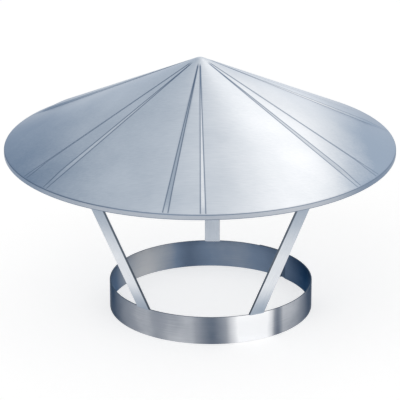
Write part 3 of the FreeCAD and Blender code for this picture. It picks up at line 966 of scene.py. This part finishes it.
@dataclass
class Clamp:
    """The bolt, washer and nut that draw the collar's two lugs together.

    They are worked out round the bolt's axis and turned to the clamp's place on the collar. The
    thread's crest and flank are shares of half its pitch. The nut's corner and face are shares of
    its reach over the corners and over the flats, and its cone's angle is in degrees.
    """

    azimuth: float = 157.0
    axis_radius: float = 88.9 * MM
    axis_height: float = 9.0 * MM
    head_seat: float = -10.62 * MM
    head_radius: float = 6.2 * MM
    head_height: float = 2.8 * MM
    head_rim: float = 0.6 * MM
    head_edge: float = 0.15 * MM
    neck_side: float = 5.0 * MM
    neck_length: float = 2.6 * MM
    neck_power: int = 12
    bolt_end: float = 22.84 * MM
    point_taper: float = 0.7 * MM
    point_drop: float = 0.75 * MM
    thread_radius: float = 2.5 * MM
    thread_pitch: float = 0.8 * MM
    thread_depth: float = 0.45 * MM
    thread_start: float = 0.3 * MM
    thread_crest: float = 0.12
    thread_flank: float = 0.72
    washer_start: float = 10.62 * MM
    washer_radius: float = 5.0 * MM
    washer_bore: float = 2.7 * MM
    washer_thickness: float = 1.0 * MM
    washer_edge: float = 0.14 * MM
    nut_start: float = 11.64 * MM
    nut_height: float = 4.0 * MM
    nut_flats: float = 8.0 * MM
    nut_bore: float = 2.55 * MM
    nut_mouth: float = 0.4 * MM
    nut_sides: int = 6
    nut_corner: float = 0.985
    nut_face: float = 0.97
    nut_cone: float = 30.0
    nut_sharp_angle: float = 20.0
    lug_thickness: float = 1.6 * MM
    lug_width: float = 13.0 * MM
    lug_face: float = 9.0 * MM
    lug_base_length: float = 9.0 * MM
    lug_gap: float = 0.03 * MM
    lug_bend_radius: float = 2.0 * MM
    lug_edge: float = 0.22 * MM
    lug_tip_share: float = 0.2
    weld: SpotWeld = SpotWeld(2.2 * MM, 0.2 * MM)
    round_hole: float = 2.7 * MM
    square_hole: float = 2.6 * MM
    bolt_points: int = 48
    dome_rings: int = 16
    neck_rings: int = 5
    pitch_rings: int = 9
    washer_points: int = 72
    nut_side_points: int = 16
    lug_arc_rings: int = 26
    lug_bend_rings: int = 12
    lug_rise_rings: int = 10
    lug_tip_rings: int = 16
    lug_side_points: int = 24

    def placed(self, along: np.ndarray, outward: np.ndarray, height: np.ndarray) -> np.ndarray:
        """Points at the clamp's place: along the bolt, outwards of the collar's axis and up.

        Args:
            along: places along the bolt.
            outward: distances from the collar's axis.
            height: heights.

        Returns:
            Points, of the same shape by three.
        """
        azimuth = math.radians(self.azimuth)
        return (outward[..., None] * radial(azimuth) + along[..., None] * tangent(azimuth)
                + height[..., None] * UP)

    def turned(self, rows: list[tuple], turn: np.ndarray) -> np.ndarray:
        """Rings round the bolt's axis: a point lies its reach away from it along its turn.

        Args:
            rows: for each ring its place along the bolt and its reach, each one number or one for
                each turn.
            turn: angles about the axis, from outwards of the collar towards up.

        Returns:
            Points, rings by turns by three.
        """
        along, reach = (np.stack([np.broadcast_to(row[part], turn.shape) for row in rows])
                        for part in (0, 1))
        return self.placed(along, self.axis_radius + reach * np.cos(turn),
                           self.axis_height + reach * np.sin(turn))

    def square_reach(self, half_side: float, turn: np.ndarray) -> np.ndarray:
        """Reach of a square with eased corners: half its side over a high norm of the turn."""
        power, cosine, sine = self.neck_power, np.abs(np.cos(turn)), np.abs(np.sin(turn))
        return half_side / (cosine**power + sine**power) ** (1 / power)

    def bolt(self) -> bpy.types.Object:
        """The bolt: a domed head, a square neck and a threaded shank, as one grid of rings.

        The dome is part of a sphere. The thread's reach falls from crest to root by the triangle
        wave of place over pitch less the turn, and a cone takes off its end.

        Returns:
            The bolt's object.
        """
        turn = full_circle(self.bolt_points)
        dome_height = self.head_height - self.head_rim
        dome_radius = (self.head_radius**2 + dome_height**2) / (2 * dome_height)
        swing = np.linspace(0, math.asin(self.head_radius / dome_radius), self.dome_rings)
        crown = self.head_seat - self.head_height
        neck_end = self.head_seat + self.neck_length
        square = self.square_reach(self.neck_side / 2, turn)

        along = np.arange(neck_end, self.bolt_end, self.thread_pitch / self.pitch_rings)
        phase = along[:, None] / self.thread_pitch - turn[None, :] / FULL_TURN
        wave = np.abs(2 * (phase % 1.0) - 1)
        groove = np.clip((wave - self.thread_crest) / self.thread_flank, 0, 1)
        fade = smooth_step((along - neck_end - self.thread_start) / self.thread_pitch)[:, None]
        end_cone = self.thread_radius - self.point_taper + (self.bolt_end - along)[:, None]
        thread = np.minimum(self.thread_radius - self.thread_depth * groove * fade, end_cone)

        neck_along = np.linspace(self.head_seat, neck_end, self.neck_rings)
        rows = [*zip(crown + dome_radius * (1 - np.cos(swing)), dome_radius * np.sin(swing)),
                (self.head_seat - self.head_edge, self.head_radius),
                (self.head_seat, self.head_radius - self.head_edge),
                *((place, square) for place in neck_along), *zip(along, thread),
                (self.bolt_end, self.thread_radius - self.point_drop), (self.bolt_end, 0.0)]
        return Surface().add_grid(self.turned(rows, turn)).to_object("square_neck_bolt")

    def washer(self) -> bpy.types.Object:
        """The washer: a rounded flat section turned about the bolt's axis.

        Returns:
            The washer's object.
        """
        section = rounded_section(self.washer_radius - self.washer_bore, self.washer_thickness,
                                  self.washer_edge, 1)
        along = self.washer_start + self.washer_thickness / 2 + section[:, 1]
        reach = (self.washer_radius + self.washer_bore) / 2 + section[:, 0]
        rings = self.turned(list(zip(along, reach)), full_circle(self.washer_points))
        return Surface().add_grid(rings, wrap_rows=True).to_object("flat_washer")

    def nut(self) -> bpy.types.Object:
        """The hexagon nut, as rings from one mouth of its bore over the outside to the other.

        A flat's reach is half the width over the flats, over the cosine of the angle from the
        flat's middle. Each end is turned off by a cone, which meets the flats further along the
        bolt where they reach further out.

        Returns:
            The nut's object.
        """
        turn = full_circle(self.nut_sides * self.nut_side_points)
        half_side = math.pi / self.nut_sides
        from_flat = (turn + half_side) % (2 * half_side) - half_side
        flat = self.nut_flats / 2
        outside = np.minimum(flat / np.cos(from_flat), flat / math.cos(half_side) * self.nut_corner)
        face = flat * self.nut_face
        inset = (outside - face) * math.tan(math.radians(self.nut_cone))
        mouth = self.nut_bore + self.nut_mouth
        start, end = self.nut_start, self.nut_start + self.nut_height
        rings = self.turned([
            (start + self.nut_mouth, self.nut_bore), (start, mouth), (start, face),
            (start + inset, outside), (end - inset, outside), (end, face), (end, mouth),
            (end - self.nut_mouth, self.nut_bore)], turn)
        nut = Surface().add_grid(rings, wrap_rows=True)
        return nut.to_object("hexagon_nut", self.nut_sharp_angle)

    def lug_path(self, surface_radius: float) -> tuple[np.ndarray, np.ndarray, np.ndarray]:
        """A lug's middle line in plan: an arc on the collar, a bend, and the ear straight outwards.

        The bend's centre lies off the collar's round and off the ear's line by the bend's radius,
        so its arc meets both in line.

        Args:
            surface_radius: the collar's outside under the lug.

        Returns:
            Places along the bolt with distances outwards, directions, and half widths.
        """
        half = self.lug_width / 2
        base = surface_radius + self.lug_gap + self.lug_thickness / 2
        middle = self.lug_face + self.lug_thickness / 2
        bend = self.lug_bend_radius
        centre_x = middle + bend
        centre = np.array([centre_x, math.sqrt((base + bend) ** 2 - centre_x**2)])
        far = math.asin((self.lug_face + self.lug_thickness + self.lug_base_length) / base)
        near = math.asin(centre_x / (base + bend))

        on_arc = np.linspace(far, near, self.lug_arc_rings, endpoint=False)
        on_bend = np.linspace(near, math.pi / 2, self.lug_bend_rings)
        rise = np.linspace(centre[1], self.axis_radius, self.lug_rise_rings, endpoint=False)[1:]
        tip = np.linspace(0, math.pi / 2, self.lug_tip_rings)
        ear = np.concatenate([rise, self.axis_radius + half * np.sin(tip)])
        points = np.concatenate([base * from_upright(on_arc), centre - bend * from_upright(on_bend),
                                 np.stack([np.full_like(ear, middle), ear], axis=1)])
        heading = np.concatenate([on_arc, on_bend, np.full_like(ear, math.pi / 2)])
        widths = np.full(len(points), half)
        widths[-len(tip):] = np.maximum(half * np.cos(tip), self.lug_edge * self.lug_tip_share)
        return points, np.stack([-np.cos(heading), np.sin(heading)], axis=1), widths

    def lug(self, name: str, surface_radius: float, side: int,
            hole: np.ndarray) -> bpy.types.Object:
        """A folded lug: its rounded section carried along its middle line, then drilled.

        The section's width follows the ear's round end. The spot weld is a dish in the outer face
        of the base.

        Args:
            name: the lug's name.
            surface_radius: the collar's outside under the lug.
            side: 1 where the base runs towards the nut's side, and -1 towards the head's.
            hole: the hole's reach for each of the bolt's turns.

        Returns:
            The lug's object.
        """
        path, heading, widths = self.lug_path(surface_radius)
        length = run_length(path)
        section = rounded_section(self.lug_width, self.lug_thickness, self.lug_edge,
                                  self.lug_side_points)
        across = section[None, :, 0] * (widths / widths[0])[:, None]
        dish = self.weld.dish(length[:, None] - self.lug_base_length / 2, across)
        through = section[None, :, 1] + dish * (section[None, :, 1] < 0)
        along = path[:, :1] - heading[:, 1:] * through
        outward = path[:, 1:] + heading[:, :1] * through
        rings = self.placed(side * along, outward, self.axis_height + across)
        lug = Surface().add_bar(rings, length, across).to_object(name)

        near = side * (self.lug_face - self.lug_edge)
        far = side * (self.lug_face + self.lug_thickness + self.lug_edge)
        rows = [(near, 0.0), (near, hole), (far, hole), (far, 0.0)]
        cutter = Surface().add_grid(self.turned(rows, full_circle(len(hole))))
        drill(lug, cutter.to_object("hole_cutter"))
        return lug

    def build(self, collar: Collar) -> dict[str, bpy.types.Object]:
        """Build the clamp's pieces, each under the name of the solid that it stands for.

        Args:
            collar: the collar that carries the lugs.

        Returns:
            The pieces.
        """
        turn = full_circle(self.bolt_points)
        square = self.square_reach(self.square_hole, turn)
        circle = np.full_like(turn, self.round_hole)
        lapped = collar.radius + collar.sheet + collar.clearance
        return {"lap_lug": self.lug("folded_lap_lug", lapped, -1, square),
                "band_lug": self.lug("folded_band_lug", collar.radius, 1, circle),
                "clamp_bolt": self.bolt(), "clamp_washer": self.washer(), "clamp_nut": self.nut()}

    def dress(self, pieces: dict[str, bpy.types.Object]) -> None:
        """Give the lugs their blanked strip and the hardware its zinc plate.

        Args:
            pieces: the clamp's pieces by the name of their solid.
        """
        for name, piece in pieces.items():
            finish = LUG_FINISH if name.endswith("_lug") else HARDWARE_FINISH
            piece.data.materials.append(finish.material())


@dataclass
class Studio:
    """The plain pale floor, the soft light and the camera.

    The room that the metal shows brightens and warms with a direction's share along room_way, from
    the first value of room_reach to the second.
    """

    image_px: float = 400.0
    focal_px: float = 2719.3
    sensor_mm: float = 36.0
    elevation: float = 20.91
    distance: float = 2.1
    aim: tuple[float, float, float] = (-0.0084, 0.0, 0.08671)
    hood_middle: tuple[float, float, float] = (0.0, 0.0, 0.16)
    lamp_white: str = "#fffaf3"
    floor_half: float = 8.0
    floor_grey: str = "#c8c8c8"
    floor_glow: float = 0.66
    room_way: tuple[float, float, float] = (1.0, 0.25, 0.0)
    room_reach: tuple[float, float] = (-0.42, 0.45)
    room_strength: tuple[float, float] = (0.82, 1.28)
    room_colours: tuple[str, str] = ("#d8e3ee", "#fbf9f6")
    even_strength: float = 0.55

    def camera(self) -> None:
        """Set the camera where the photograph's outlines put it."""
        data = bpy.data.cameras.new("camera")
        data.sensor_width = self.sensor_mm
        data.lens = self.focal_px / self.image_px * self.sensor_mm
        tilt = math.radians(self.elevation)
        camera = bpy.data.objects.new("camera", data)
        away = Vector((0, -math.cos(tilt), math.sin(tilt))) * self.distance
        camera.location = Vector(self.aim) + away
        camera.rotation_euler = (math.pi / 2 - tilt, 0, 0)
        bpy.context.scene.collection.objects.link(camera)
        bpy.context.scene.camera = camera

    def lamp(self, name: str, place: tuple[float, float, float], size: tuple[float, float],
             power: float) -> None:
        """Hang a soft rectangular lamp that faces the hood's middle.

        Args:
            name: the lamp's name.
            place: where it hangs.
            size: its width and height.
            power: its power in watts.
        """
        data = bpy.data.lights.new(name, "AREA")
        data.shape = "RECTANGLE"
        data.size, data.size_y = size
        data.energy = power
        data.color = linear_colour(self.lamp_white)[:3]
        lamp = bpy.data.objects.new(name, data)
        lamp.location = place
        facing = Vector(self.hood_middle) - Vector(place)
        lamp.rotation_euler = facing.to_track_quat("-Z", "Y").to_euler()
        bpy.context.scene.collection.objects.link(lamp)

    def floor(self) -> None:
        """A pale matt floor: white to camera and metal but for the shadow, and open from below."""
        half = self.floor_half
        corners = [(-half, -half, 0), (half, -half, 0), (half, half, 0), (-half, half, 0)]
        mesh = bpy.data.meshes.new("floor")
        mesh.from_pydata(corners, [], [(0, 1, 2, 3)])
        floor = bpy.data.objects.new("floor", mesh)
        bpy.context.scene.collection.objects.link(floor)
        material, tree = new_tree("floor_matt_white")
        path = add_node(tree, "ShaderNodeLightPath")
        seen = add_node(tree, "ShaderNodeMath", {"operation": "MAXIMUM"}, {
            0: path.outputs["Is Camera Ray"], 1: path.outputs["Is Glossy Ray"]})
        seen = add_node(tree, "ShaderNodeMath", {"operation": "MAXIMUM"}, {
            0: seen, 1: path.outputs["Is Transmission Ray"]})
        lift = add_node(tree, "ShaderNodeMath", {"operation": "MULTIPLY"}, {
            0: seen, 1: self.floor_glow})
        matt = add_node(tree, "ShaderNodeBsdfDiffuse", inputs={
            "Color": linear_colour(self.floor_grey)})
        glow = add_node(tree, "ShaderNodeEmission", inputs={"Strength": lift})
        both = add_node(tree, "ShaderNodeAddShader", inputs={0: matt, 1: glow})
        under = add_node(tree, "ShaderNodeNewGeometry").outputs["Backfacing"]
        clear = add_node(tree, "ShaderNodeBsdfTransparent")
        sides = add_node(tree, "ShaderNodeMixShader", inputs={0: under, 1: both, 2: clear})
        add_node(tree, "ShaderNodeOutputMaterial", inputs={"Surface": sides})
        mesh.materials.append(material)

    def world(self) -> None:
        """White to the camera, a room that brightens to one side to metal, and even grey else."""
        world = bpy.data.worlds.new("studio")
        world.use_nodes = True
        tree = world.node_tree
        tree.nodes.clear()
        path = add_node(tree, "ShaderNodeLightPath")
        direction = add_node(tree, "ShaderNodeTexCoord").outputs["Generated"]
        towards = add_node(tree, "ShaderNodeVectorMath", {"operation": "DOT_PRODUCT"}, {
            0: direction, 1: self.room_way})
        bright = add_node(tree, "ShaderNodeMapRange", {"interpolation_type": "SMOOTHSTEP"}, {
            "Value": towards, "From Min": self.room_reach[0], "From Max": self.room_reach[1]})
        room = add_node(tree, "ShaderNodeMapRange", inputs={
            "Value": bright, "To Min": self.room_strength[0], "To Max": self.room_strength[1]})
        dim, lit = (linear_colour(colour) for colour in self.room_colours)
        paint = add_node(tree, "ShaderNodeMix", {"data_type": "RGBA"}, {
            "Factor": bright, 6: dim, 7: lit})
        shiny = add_node(tree, "ShaderNodeMath", {"operation": "MAXIMUM"}, {
            0: path.outputs["Is Glossy Ray"], 1: path.outputs["Is Transmission Ray"]})
        inside = add_node(tree, "ShaderNodeMix", {"data_type": "FLOAT"}, {
            "Factor": shiny, 2: self.even_strength, 3: room})
        strength = add_node(tree, "ShaderNodeMix", {"data_type": "FLOAT"}, {
            "Factor": path.outputs["Is Camera Ray"], 2: inside, 3: 1.0})
        colour = add_node(tree, "ShaderNodeMix", {"data_type": "RGBA"}, {
            "Factor": shiny, 6: linear_colour("#ffffff"), 7: paint})
        light = add_node(tree, "ShaderNodeBackground", inputs={
            "Color": colour, "Strength": strength})
        add_node(tree, "ShaderNodeOutputWorld", inputs={"Surface": light})
        bpy.context.scene.world = world

    def build(self) -> None:
        """Set up camera, floor, world and lamps."""
        self.camera()
        self.floor()
        self.world()
        self.lamp("band_light", place=(0.69, 1.04, 1.72), size=(0.3, 0.95), power=0.4)
        self.lamp("front_light", place=(-0.9, -1.8, 1.9), size=(2.4, 2.4), power=11.0)
        bpy.context.scene.view_settings.view_transform = "Standard"


def rear_strap(hood: Hood, collar: Collar, foot_azimuth: float) -> Strap:
    """The rear strap, which runs straight back over its foot to the hood's offset rim.

    Args:
        hood: the hood that its tab lies under.
        collar: the collar that its foot stands on.
        foot_azimuth: where its foot stands, in degrees.

    Returns:
        The strap.
    """
    foot_x = (collar.radius - collar.sheet / 2) * math.sin(math.radians(foot_azimuth))
    lean = math.degrees(math.asin((foot_x - hood.axis_x) / Strap.top_radius))
    return Strap("rear_bar", foot_azimuth, DEGREES_ROUND / 2 - lean, REAR_STRAP_FINISH)


def main() -> None:
    """Build the studio, then each sub-assembly in order."""
    logging.basicConfig(level=logging.INFO)
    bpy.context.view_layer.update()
    Studio().build()

    hood = Hood()
    hood_piece = hood.build()
    hood.dress(hood_piece)
    hand_over(hood_piece, Body.CAP, Slot.HOOD, "hood")

    collar = Collar()
    collar_piece = collar.build()
    collar.dress(collar_piece)
    hand_over(collar_piece, Body.CAP, Slot.COLLAR, "collar_band")

    straps = {"front_left_strap": Strap("front_left_bar", -40.8, -38.6),
              "front_right_strap": Strap("front_right_bar", 25.9, 38.6),
              "rear_strap": rear_strap(hood, collar, 178.8)}
    for node, strap in straps.items():
        piece = strap.build(hood, collar)
        strap.dress(piece)
        hand_over(piece, Body.CAP, Slot.STRAP, node)

    clamp = Clamp()
    clamp_pieces = clamp.build(collar)
    clamp.dress(clamp_pieces)
    moving = {"clamp_washer": Body.WASHER, "clamp_nut": Body.NUT}
    for node, piece in clamp_pieces.items():
        slot = Slot.COLLAR if node.endswith("_lug") else Slot.HARDWARE
        hand_over(piece, moving.get(node, Body.CAP), slot, node)


if __name__ == "__main__":
    main()
